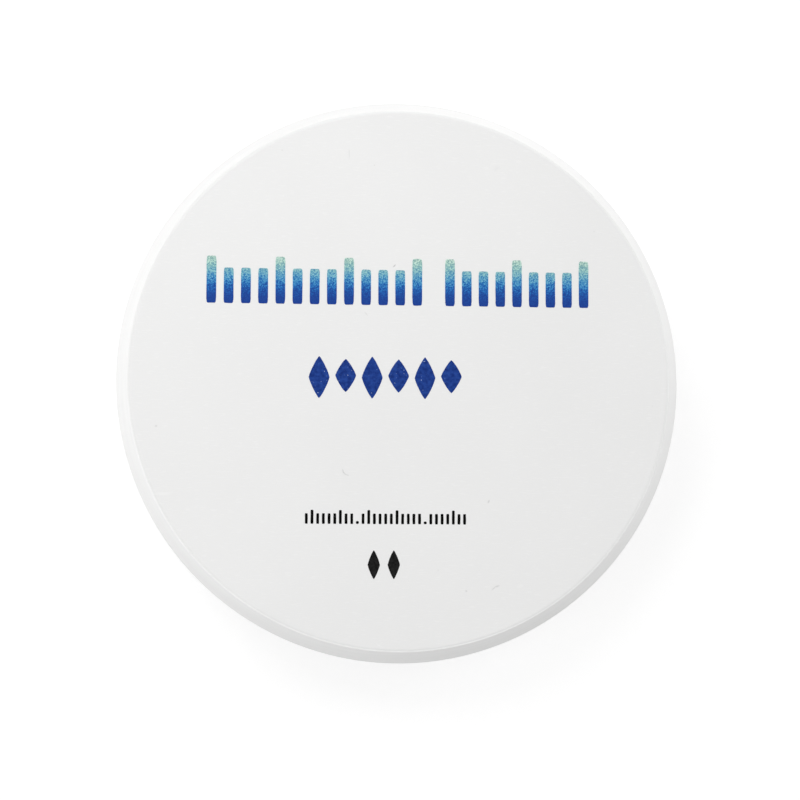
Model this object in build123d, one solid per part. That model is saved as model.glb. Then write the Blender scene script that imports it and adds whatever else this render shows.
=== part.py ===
from build123d import *
import os

os.makedirs("parts", exist_ok=True)

# Dental milling disc: a solid round blank of pre-sintered zirconia, pressed and then turned all over.
# The disc lies flat, its axis is +Z and the centre of its lower face is the origin.

# Driving sizes in millimetres.
RIM_DIAMETER = 98.5  # over the straight wall that a milling holder clamps
RIM_HEIGHT = 10.0  # length of the straight wall
FACE_RISE = 3.0  # how far each flat face stands out beyond the wall
BEVEL_WIDTH = 2.05  # radial width of the steep bevel between wall and face
EDGE_BREAK_WIDTH = 0.45  # radial width of the shallow chamfer around each face
EDGE_BREAK_DROP = 0.12  # depth of that chamfer below the face
RIM_ROUND = 0.4  # radius where the wall turns into a bevel

# Sizes that follow from them.
rim_radius = RIM_DIAMETER / 2
bevel_radius = rim_radius - BEVEL_WIDTH
face_radius = bevel_radius - EDGE_BREAK_WIDTH
rim_bottom = FACE_RISE
rim_top = rim_bottom + RIM_HEIGHT
thickness = rim_top + FACE_RISE

# Half section of the blank, from the axis out: lower face, its chamfer, lower bevel, straight wall,
# and the same in reverse order up to the upper face. Turned around +Z it gives the whole disc.
with BuildPart() as blank:
    with BuildSketch(Plane.XZ):
        with BuildLine():
            Polyline(
                (0, 0),
                (face_radius, 0),
                (bevel_radius, EDGE_BREAK_DROP),
                (rim_radius, rim_bottom),
                (rim_radius, rim_top),
                (bevel_radius, thickness - EDGE_BREAK_DROP),
                (face_radius, thickness),
                (0, thickness),
                close=True,
            )
        make_face()
    revolve(axis=Axis.Z)

    # The two corners at the ends of the straight wall are softened.
    wall_corners = blank.edges().filter_by(
        lambda edge: edge.geom_type == GeomType.CIRCLE and abs(edge.radius - rim_radius) < 0.001
    )
    fillet(wall_corners, RIM_ROUND)

disc = blank.part
disc.label = "milling_disc"
export_step(disc, "parts/milling_disc.step")
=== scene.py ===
import math
import random

import bmesh
import bpy
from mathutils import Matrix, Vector


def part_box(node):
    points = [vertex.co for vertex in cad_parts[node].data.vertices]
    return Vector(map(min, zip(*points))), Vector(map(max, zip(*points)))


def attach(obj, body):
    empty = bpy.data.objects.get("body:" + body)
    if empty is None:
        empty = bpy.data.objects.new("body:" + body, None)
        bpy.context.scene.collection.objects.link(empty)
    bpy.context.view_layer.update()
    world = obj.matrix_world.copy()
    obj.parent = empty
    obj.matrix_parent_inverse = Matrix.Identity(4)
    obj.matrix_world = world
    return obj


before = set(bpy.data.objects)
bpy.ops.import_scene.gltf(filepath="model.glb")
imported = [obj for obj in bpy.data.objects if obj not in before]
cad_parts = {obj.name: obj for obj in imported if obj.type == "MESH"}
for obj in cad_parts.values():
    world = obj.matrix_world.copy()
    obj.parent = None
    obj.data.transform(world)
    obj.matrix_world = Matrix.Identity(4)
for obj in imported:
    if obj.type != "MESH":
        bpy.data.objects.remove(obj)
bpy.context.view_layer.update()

# The blank is one solid disc of pressed and pre-sintered zirconia, turned all over on a lathe.
# It is chalky and dull, nearly pure white and a little cloudy, with fine turning marks round its rim.
# The printed face has small scratches and pits from handling.
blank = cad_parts["milling_disc"]
FACE_HEIGHT = round(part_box("milling_disc")[1][2], 6)


# A socket's value is a plain value, or the output of another node that feeds it.
def add_node(owner, kind, sockets=None, **settings):
    node = owner.node_tree.nodes.new(kind)
    for name, value in settings.items():
        setattr(node, name, value)
    for socket, value in (sockets or {}).items():
        if isinstance(value, bpy.types.NodeSocket):
            join(owner, value, node.inputs[socket])
        else:
            node.inputs[socket].default_value = value
    return node


def join(owner, source, target):
    owner.node_tree.links.new(source, target)


def noise(owner, place, cells_per_metre, detail):
    sockets = {"Vector": place, "Scale": cells_per_metre, "Detail": detail}
    return add_node(owner, "ShaderNodeTexNoise", sockets).outputs["Fac"]


def remap(owner, source, source_range, result_range):
    sockets = {
        "Value": source,
        "From Min": source_range[0],
        "From Max": source_range[1],
        "To Min": result_range[0],
        "To Max": result_range[1],
    }
    return add_node(owner, "ShaderNodeMapRange", sockets).outputs["Result"]


def calculate(owner, operation, *values):
    return add_node(owner, "ShaderNodeMath", dict(enumerate(values)), operation=operation).outputs["Value"]


def distance(owner, place):
    return add_node(owner, "ShaderNodeVectorMath", {0: place}, operation="LENGTH").outputs["Value"]


def scale_light(owner, colour, share):
    sockets = {0: colour, "Scale": share}
    return add_node(owner, "ShaderNodeVectorMath", sockets, operation="SCALE").outputs["Vector"]


def colour_ramp(owner, source, stops):
    node = add_node(owner, "ShaderNodeValToRGB", {"Fac": source})
    elements = node.color_ramp.elements
    while len(elements) < len(stops):
        elements.new(0.5)
    for element, (position, colour) in zip(elements, stops):
        element.position = position
        element.color = colour
    return node.outputs["Color"]


def new_surface(name, roughness, shine):
    material = bpy.data.materials.new(name)
    material.use_nodes = True
    coat = material.node_tree.nodes["Principled BSDF"].inputs
    coat["Roughness"].default_value = roughness
    coat["Specular IOR Level"].default_value = shine
    place = add_node(material, "ShaderNodeTexCoord").outputs["Object"]
    return material, coat, place


zirconia, chalk, place = new_surface("chalky_zirconia", roughness=0.85, shine=0.3)

# Tone by distance from the axis: the face, its duller chamfer, a painted highlight along the edge of the
# bevel, the bevel, greyed with painted shade towards the wall, a slightly darker corner of the wall and the
# wall itself.
RIM_TONES_AND_PAINTED_LIGHT = [
    (0.04668, 0.864),
    (0.04678, 0.854),
    (0.04700, 0.856),
    (0.04722, 0.878),
    (0.04740, 0.876),
    (0.04900, 0.857),
    (0.04914, 0.850),
    (0.04925, 0.852),
]
TONES_START = 0.0460
TONES_END = 0.0500
BLUE_SHARE = 0.995
flat_sockets = {0: place, 1: (1, 1, 0)}
flat_place = add_node(zirconia, "ShaderNodeVectorMath", flat_sockets, operation="MULTIPLY").outputs["Vector"]
from_axis = distance(zirconia, flat_place)
across_rim = remap(zirconia, from_axis, (TONES_START, TONES_END), (0.0, 1.0))
rim_stops_and_painted_light = []
for radius, level in RIM_TONES_AND_PAINTED_LIGHT:
    position = (radius - TONES_START) / (TONES_END - TONES_START)
    rim_stops_and_painted_light.append((position, (level, level, level * BLUE_SHARE, 1)))
# The rim colour carries the painted highlight at the bevel's edge and the painted shade towards the wall.
rim_colour_and_painted_light = colour_ramp(zirconia, across_rim, rim_stops_and_painted_light)

# Just inside the edge of the bevel the chamfer carries a thin, broken whiter line of painted highlight. It
# is strongest at the foot of the disc, a little to the left, and fades out towards the top.
BEVEL_EDGE_RADIUS = 0.0472
LINE_RADIUS = BEVEL_EDGE_RADIUS - 0.00007
LINE_CORE = 0.00007
LINE_FADED = 0.00016
LINE_GAIN = 0.125
HIGHLIGHT_SIDE = (-0.26, -0.97, 0)
HIGHLIGHT_REACH = (-0.005, 0.045)
HIGHLIGHT_BREAKS_PER_METRE = 600.0
HIGHLIGHT_BREAK_SHARES = (0.7, 1.0)
from_line = calculate(zirconia, "ABSOLUTE", calculate(zirconia, "SUBTRACT", from_axis, LINE_RADIUS))
painted_line_highlight = remap(zirconia, from_line, (LINE_CORE, LINE_FADED), (LINE_GAIN, 0.0))
foot_sockets = {0: place, 1: HIGHLIGHT_SIDE}
to_foot = add_node(zirconia, "ShaderNodeVectorMath", foot_sockets, operation="DOT_PRODUCT").outputs["Value"]
highlight_side_share = remap(zirconia, to_foot, HIGHLIGHT_REACH, (0.0, 1.0))
highlight_breaks = noise(zirconia, place, HIGHLIGHT_BREAKS_PER_METRE, detail=2.0)
highlight_kept = remap(zirconia, highlight_breaks, (0.35, 0.5), HIGHLIGHT_BREAK_SHARES)
painted_edge_highlight = calculate(zirconia, "MULTIPLY", painted_line_highlight, calculate(zirconia, "MULTIPLY", highlight_side_share, highlight_kept))

# Slow clouding of the powder, grain finer than a quarter of a millimetre, and short pale streaks on the
# flat faces, a hair wide and about a millimetre long, where they were wiped. The wall and bevels have
# turning marks instead: faint rings, a third of a millimetre apart. A noise mostly keeps to NOISE_SPREAD.
CLOUDS_PER_METRE = 45.0
GRAINS_PER_METRE = 5200.0
STREAKS_PER_METRE = (700, 5200, 700)
RINGS_PER_METRE = (60, 60, 3000)
NOISE_SPREAD = (0.3, 0.7)
clouds = noise(zirconia, place, CLOUDS_PER_METRE, detail=3.0)
grain = noise(zirconia, place, GRAINS_PER_METRE, detail=2.0)
streak_sockets = {"Vector": place, "Scale": STREAKS_PER_METRE}
streak_place = add_node(zirconia, "ShaderNodeMapping", streak_sockets).outputs["Vector"]
streaks = noise(zirconia, streak_place, 1.0, detail=0.0)
ring_sockets = {"Vector": place, "Scale": RINGS_PER_METRE}
ring_place = add_node(zirconia, "ShaderNodeMapping", ring_sockets).outputs["Vector"]
rings = noise(zirconia, ring_place, 1.0, detail=2.0)
cloud_tone = remap(zirconia, clouds, NOISE_SPREAD, (0.991, 1.009))
grain_tone = remap(zirconia, grain, NOISE_SPREAD, (-0.007, 0.007))
streak_tone = remap(zirconia, streaks, (0.67, 0.72), (0.0, 0.022))
ring_tone = remap(zirconia, rings, NOISE_SPREAD, (-0.012, 0.012))
on_rim = calculate(zirconia, "GREATER_THAN", from_axis, BEVEL_EDGE_RADIUS)
mark_sockets = {0: on_rim, 2: streak_tone, 3: ring_tone}
marks = add_node(zirconia, "ShaderNodeMix", mark_sockets, data_type="FLOAT").outputs[0]
# The painted edge highlight is added here to the grain and the marks.
grain_marks_and_painted_highlight = calculate(zirconia, "ADD", calculate(zirconia, "ADD", painted_edge_highlight, grain_tone), marks)
clouds_grain_and_painted_highlight = calculate(zirconia, "ADD", cloud_tone, grain_marks_and_painted_highlight)
surface_colour = scale_light(zirconia, rim_colour_and_painted_light, clouds_grain_and_painted_highlight)

# Scratches and pits in the printed face: place in millimetres, half length, half width, turn in degrees,
# and the share of light that the mark keeps.
SCRATCHES = [
    (-9.19, 39.45, 0.85, 0.13, 92, 0.93),
    (-4.75, 37.45, 0.16, 0.12, 45, 0.92),
    (-20.9, 39.8, 0.17, 0.13, 0, 0.92),
    (34.1, 26.4, 0.2, 0.12, 0, 0.94),
    (31.9, 21.4, 0.2, 0.12, 0, 0.96),
    (16.8, 37.3, 0.6, 0.45, 30, 0.975),
    (-1.2, 19.7, 0.32, 0.12, 45, 0.7),
    (-6.1, 11.2, 0.42, 0.12, -48, 0.91),
    (-42.1, -8.7, 0.22, 0.18, 20, 0.87),
    (-9.98, -16.2, 0.35, 0.12, -74, 0.84),
    (-9.74, -16.58, 0.33, 0.12, -48, 0.85),
    (-9.3, -16.85, 0.38, 0.12, -18, 0.88),
    (-40.9, -20.3, 1.3, 0.26, 0, 1.035),
    (15.3, -21.3, 0.3, 0.16, 65, 0.82),
    (16.15, -36.27, 0.45, 0.12, 42, 0.86),
    (16.78, -35.9, 0.4, 0.13, 18, 0.83),
    (11.4, -36.75, 0.18, 0.18, 0, 0.86),
    (6.55, -33.2, 0.15, 0.15, 0, 0.95),
    (44.2, -4.4, 0.16, 0.16, 0, 0.95),
]
MILLIMETRE = 0.001
SOFT_RIM = (0.5, 1.35)
for across, up, half_length, half_width, turn, kept in SCRATCHES:
    scratch_sockets = {
        "Vector": place,
        "Location": (across * MILLIMETRE, up * MILLIMETRE, FACE_HEIGHT),
        "Rotation": (0, 0, math.radians(turn)),
        "Scale": (half_length * MILLIMETRE, half_width * MILLIMETRE, MILLIMETRE),
    }
    scratch = add_node(zirconia, "ShaderNodeMapping", scratch_sockets, vector_type="TEXTURE")
    reach = distance(zirconia, scratch.outputs["Vector"])
    depth = remap(zirconia, reach, SOFT_RIM, (kept, 1.0))
    surface_colour = scale_light(zirconia, surface_colour, depth)
join(zirconia, surface_colour, chalk["Base Color"])

# Relief: powder grain everywhere, and the turning marks on top of it.
powder_sockets = {"Strength": 0.08, "Distance": 0.00003, "Height": grain}
powder_bump = add_node(zirconia, "ShaderNodeBump", powder_sockets).outputs["Normal"]
turned_sockets = {"Strength": 0.25, "Distance": 0.00002, "Height": rings, "Normal": powder_bump}
turned_bump = add_node(zirconia, "ShaderNodeBump", turned_sockets).outputs["Normal"]
join(zirconia, turned_bump, chalk["Normal"])
blank.data.materials.clear()
blank.data.materials.append(zirconia)

# The large print is a row of upright bars in ink, screened straight onto the face, tall and low like
# the lines of a scale. It fades from pale green at the top through blue to a deep blue at the foot,
# and the screen leaves a coarse grain in the pale part.
INK_THICKNESS = 0.00002
INK_SPREAD = 0.00003
INK_RISE = 0.00002
press = random.Random(7)


# A closed outline between pointed (squareness 1), round (2) and nearly square (9), slightly ragged.
def soft_outline(left, right, foot, top, squareness, points=44):
    outline = []
    for step in range(points):
        turn = 2 * math.pi * step / points
        sideways = math.copysign(abs(math.cos(turn)) ** (2 / squareness), math.cos(turn))
        upward = math.copysign(abs(math.sin(turn)) ** (2 / squareness), math.sin(turn))
        ragged = 1 + press.uniform(-INK_SPREAD, INK_SPREAD) / (right - left)
        across = (left + right) / 2 + sideways * (right - left) / 2 * ragged
        up = (foot + top) / 2 + upward * (top - foot) / 2 + press.uniform(-INK_RISE, INK_RISE)
        outline.append((across, up))
    return outline


def print_ink(name, outlines, ink):
    mesh = bpy.data.meshes.new(name)
    shapes = bmesh.new()
    for outline in outlines:
        lower = [shapes.verts.new((across, up, FACE_HEIGHT)) for across, up in outline]
        upper = [shapes.verts.new((across, up, FACE_HEIGHT + INK_THICKNESS)) for across, up in outline]
        shapes.faces.new(upper)
        shapes.faces.new(lower[::-1])
        for here in range(len(outline)):
            after = (here + 1) % len(outline)
            shapes.faces.new((lower[here], lower[after], upper[after], upper[here]))
    shapes.to_mesh(mesh)
    shapes.free()
    film = bpy.data.objects.new(name, mesh)
    bpy.context.scene.collection.objects.link(film)
    mesh.materials.append(ink)
    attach(film, "root")


def paint(red, green, blue):
    linear = []
    for value in (red, green, blue):
        share = value / 255
        linear.append(share / 12.92 if share < 0.04045 else ((share + 0.055) / 1.055) ** 2.4)
    return (*linear, 1.0)


BAR_FOOT = 0.01275
LOW_BAR_TOP = 0.01895
TALL_BAR_TOP = 0.0210
BAR_WIDTH = 0.0017
BAR_SQUARENESS = 9
TALL_BAR_EVERY = 4
# For each group of bars: the middle of its first bar, the pitch and the number of bars.
BAR_GROUPS = ((-0.03295, 0.00298, 13), (0.00855, 0.00295, 9))
SCREEN_DOTS_PER_METRE = 5400.0
SCREEN_SPREAD = (0.36, 0.64)
INK_HUES = [
    (0.0, paint(29, 62, 144)),
    (0.22, paint(31, 74, 155)),
    (0.33, paint(34, 97, 175)),
    (0.40, paint(51, 125, 190)),
    (0.47, paint(76, 150, 194)),
    (0.58, paint(122, 178, 193)),
    (0.72, paint(157, 198, 189)),
    (1.0, paint(216, 227, 212)),
]
fading_ink, fading_coat, ink_place = new_surface("green_to_blue_ink", roughness=0.6, shine=0.1)
ink_height = add_node(fading_ink, "ShaderNodeSeparateXYZ", {"Vector": ink_place}).outputs["Y"]
fade = remap(fading_ink, ink_height, (BAR_FOOT, TALL_BAR_TOP), (0.04, 0.8))
screen = noise(fading_ink, ink_place, SCREEN_DOTS_PER_METRE, detail=1.0)
screen_shift = remap(fading_ink, screen, SCREEN_SPREAD, (-0.1, 0.1))
screen_light = remap(fading_ink, screen, SCREEN_SPREAD, (-0.32, 0.32))
hue = colour_ramp(fading_ink, calculate(fading_ink, "ADD", fade, screen_shift), INK_HUES)
pale_light = calculate(fading_ink, "MULTIPLY_ADD", screen_light, fade, 1.0)
join(fading_ink, scale_light(fading_ink, hue, pale_light), fading_coat["Base Color"])

bars = []
for first, pitch, count in BAR_GROUPS:
    for bar in range(count):
        middle = first + bar * pitch
        top = TALL_BAR_TOP if bar % TALL_BAR_EVERY == 0 else LOW_BAR_TOP
        left = middle - BAR_WIDTH / 2
        right = middle + BAR_WIDTH / 2
        bars.append(soft_outline(left, right, BAR_FOOT, top, BAR_SQUARENESS))
print_ink("fading_bars", bars, fading_ink)

# The second print is a row of plain lozenges in solid deep blue ink, tall and low by turns.
# The ink missed the powder in a few tiny spots, which show pale.
LOZENGE_COUNT = 6
LOZENGE_FIRST = -0.0142
LOZENGE_PITCH = 0.0046
LOZENGE_HALF_WIDTH = 0.0018
LOZENGE_FOOT = -0.0036
LOZENGE_TOP = 0.0037
LOW_FOOT_RISE = 0.0011
LOW_TOP_DROP = LOW_FOOT_RISE * 0.4
LOZENGE_SQUARENESS = 1.2
BLUE_TONES = [(0.35, paint(18, 47, 120)), (0.65, paint(36, 70, 150))]
BLUE_CLOUDS_PER_METRE = 1500.0
MISSED_BLUE = paint(170, 188, 226)
MISSED_SPOTS_PER_METRE = 3200.0
blue_ink, blue_coat, blue_place = new_surface("deep_blue_ink", roughness=0.6, shine=0.1)
blue_clouds = noise(blue_ink, blue_place, BLUE_CLOUDS_PER_METRE, detail=3.0)
blue_colour = colour_ramp(blue_ink, blue_clouds, BLUE_TONES)
missed_spots = noise(blue_ink, blue_place, MISSED_SPOTS_PER_METRE, detail=1.0)
missed = remap(blue_ink, missed_spots, (0.73, 0.78), (0.0, 0.8))
missed_sockets = {0: missed, 6: blue_colour, 7: MISSED_BLUE}
spotted = add_node(blue_ink, "ShaderNodeMix", missed_sockets, data_type="RGBA").outputs[2]
join(blue_ink, spotted, blue_coat["Base Color"])

lozenges = []
for piece in range(LOZENGE_COUNT):
    middle = LOZENGE_FIRST + piece * LOZENGE_PITCH
    left = middle - LOZENGE_HALF_WIDTH
    right = middle + LOZENGE_HALF_WIDTH
    low = piece % 2
    foot = LOZENGE_FOOT + low * LOW_FOOT_RISE
    top = LOZENGE_TOP - low * LOW_TOP_DROP
    lozenges.append(soft_outline(left, right, foot, top, LOZENGE_SQUARENESS))
print_ink("blue_lozenges", lozenges, blue_ink)

# The third print is a fine row of short black strokes, every fifth a little taller, with two dots in it.
# The ink is cloudy, because it dried unevenly on the powder.
STROKE_COUNT = 29
STROKE_FIRST = -0.01625
STROKE_PITCH = 0.000977
STROKE_HALF_WIDTH = 0.00024
STROKE_FOOT = -0.0253
STROKE_TOP = -0.0235
TALL_STROKE_RISE = 0.0006
TALL_STROKE_EVERY = 5
BLACK_CLOUDS_PER_METRE = 2400.0
DOTS = (9, 21)
DOT_HALF_WIDTH = 0.00026
DOT_TOP = -0.0248


def cloudy_black(name, darkest, palest):
    ink, coat, ink_place = new_surface(name, roughness=0.6, shine=0.05)
    tones = [(0.3, paint(darkest, darkest, darkest)), (0.7, paint(palest, palest, palest))]
    clouds = noise(ink, ink_place, BLACK_CLOUDS_PER_METRE, detail=2.0)
    join(ink, colour_ramp(ink, clouds, tones), coat["Base Color"])
    return ink


strokes = []
for stroke in range(STROKE_COUNT):
    middle = STROKE_FIRST + stroke * STROKE_PITCH
    if stroke in DOTS:
        left = middle - DOT_HALF_WIDTH
        right = middle + DOT_HALF_WIDTH
        strokes.append(soft_outline(left, right, STROKE_FOOT, DOT_TOP, squareness=2.5, points=16))
    else:
        left = middle - STROKE_HALF_WIDTH
        right = middle + STROKE_HALF_WIDTH
        top = STROKE_TOP
        if stroke % TALL_STROKE_EVERY == 1:
            top += TALL_STROKE_RISE
        strokes.append(soft_outline(left, right, STROKE_FOOT, top, squareness=8, points=24))
print_ink("black_strokes", strokes, cloudy_black("black_ink", 0, 6))

# The fourth print is a pair of tall lozenges in a softer, greyer black than the strokes, and as cloudy.
PAIR_MIDDLES = (-0.0046, -0.00115)
PAIR_HALF_WIDTH = 0.00105
PAIR_FOOT = -0.03475
PAIR_TOP = -0.0298
pair = []
for middle in PAIR_MIDDLES:
    left = middle - PAIR_HALF_WIDTH
    right = middle + PAIR_HALF_WIDTH
    pair.append(soft_outline(left, right, PAIR_FOOT, PAIR_TOP, LOZENGE_SQUARENESS))
print_ink("black_lozenges", pair, cloudy_black("soft_black_ink", 18, 36))

# The disc lies on a plain white table that takes its soft shadow. A hand's width away the table is
# lost in the white of the tent.
TABLE_SIZE = 8
TABLE_ALBEDO = 0.85
SEEN_ALBEDO = 0.5
SEEN_GLOW = 0.6
FADE_START = 0.1
FADE_END = 0.25
bpy.ops.mesh.primitive_plane_add(size=TABLE_SIZE, location=(0, 0, 0))
table = bpy.context.object
table.name = "table_top"
table_white, table_coat, table_place = new_surface("table_white", roughness=0.9, shine=0.0)
table_coat["Base Color"].default_value = (TABLE_ALBEDO, TABLE_ALBEDO, TABLE_ALBEDO, 1)
seen_colour = (SEEN_ALBEDO, SEEN_ALBEDO, SEEN_ALBEDO, 1)
glow_colour = (SEEN_GLOW, SEEN_GLOW, SEEN_GLOW, 1)
seen_table = add_node(table_white, "ShaderNodeBsdfDiffuse", {"Color": seen_colour}).outputs[0]
seen_glow = add_node(table_white, "ShaderNodeEmission", {"Color": glow_colour}).outputs[0]
near_white = add_node(table_white, "ShaderNodeAddShader", {0: seen_table, 1: seen_glow}).outputs[0]
far_white = add_node(table_white, "ShaderNodeEmission").outputs[0]
far_share = remap(table_white, distance(table_white, table_place), (FADE_START, FADE_END), (0.0, 1.0))
seen_sockets = {0: far_share, 1: near_white, 2: far_white}
seen_white = add_node(table_white, "ShaderNodeMixShader", seen_sockets).outputs[0]
table_ray = add_node(table_white, "ShaderNodeLightPath").outputs["Is Camera Ray"]
plain_table = table_white.node_tree.nodes["Principled BSDF"].outputs[0]
table_sockets = {0: table_ray, 1: plain_table, 2: seen_white}
table_mix = add_node(table_white, "ShaderNodeMixShader", table_sockets).outputs[0]
join(table_white, table_mix, table_white.node_tree.nodes["Material Output"].inputs["Surface"])
table.data.materials.append(table_white)

# Light: a white tent, brightest near its foot, a soft lamp close by at the upper left, and weaker ones
# further off. The camera sees the tent as plain white.
TENT_FOOT = 0.813
TENT_TOP = 0.461
tent = bpy.data.worlds.new("white_tent")
tent.use_nodes = True
bpy.context.scene.world = tent
tent_place = add_node(tent, "ShaderNodeTexCoord").outputs["Generated"]
tent_height = add_node(tent, "ShaderNodeSeparateXYZ", {"Vector": tent_place}).outputs["Z"]
tent_glow = tent.node_tree.nodes["Background"]
tent_glow.inputs["Color"].default_value = (1, 1, 1, 1)
join(tent, remap(tent, tent_height, (0.0, 1.0), (TENT_FOOT, TENT_TOP)), tent_glow.inputs["Strength"])
tent_seen = add_node(tent, "ShaderNodeBackground", {"Color": (1, 1, 1, 1)}).outputs[0]
tent_ray = add_node(tent, "ShaderNodeLightPath").outputs["Is Camera Ray"]
tent_sockets = {0: tent_ray, 1: tent_glow.outputs[0], 2: tent_seen}
tent_mix = add_node(tent, "ShaderNodeMixShader", tent_sockets).outputs[0]
join(tent, tent_mix, tent.node_tree.nodes["World Output"].inputs["Surface"])


# Bearing and height in degrees, away from the disc and size in metres, power in watts.
def soft_lamp(name, bearing, height, away, size, power):
    lamp_light = bpy.data.lights.new(name, "AREA")
    lamp_light.shape = "DISK"
    lamp_light.size = size
    lamp_light.energy = power
    lamp = bpy.data.objects.new(name, lamp_light)
    bpy.context.scene.collection.objects.link(lamp)
    lamp.visible_camera = False
    level = math.cos(math.radians(height))
    along_x = level * math.cos(math.radians(bearing))
    along_y = level * math.sin(math.radians(bearing))
    direction = Vector((along_x, along_y, math.sin(math.radians(height))))
    lamp.location = direction * away
    lamp.rotation_euler = direction.to_track_quat("Z", "Y").to_euler()


soft_lamp("upper_left_lamp", bearing=125, height=45, away=0.42, size=0.3, power=0.59)
soft_lamp("left_fill", bearing=205, height=30, away=0.6, size=0.4, power=0.73)
soft_lamp("right_fill", bearing=25, height=15, away=1.0, size=0.6, power=3.03)
soft_lamp("far_fill", bearing=75, height=10, away=1.0, size=0.6, power=0.41)

# The camera looks down on the disc, a few degrees from its axis, from the lower left.
lens = bpy.data.cameras.new("photo_camera")
lens.sensor_width = 36.0
lens.lens = 89.97
lens.clip_start = 0.01
lens.clip_end = 50.0
camera = bpy.data.objects.new("photo_camera", lens)
bpy.context.scene.collection.objects.link(camera)
camera.location = (-0.02861, -0.03629, 0.35995)
camera.rotation_euler = (math.radians(5.366), math.radians(-4.744), math.radians(0.155))
bpy.context.scene.camera = camera
bpy.context.scene.view_settings.view_transform = "Standard"
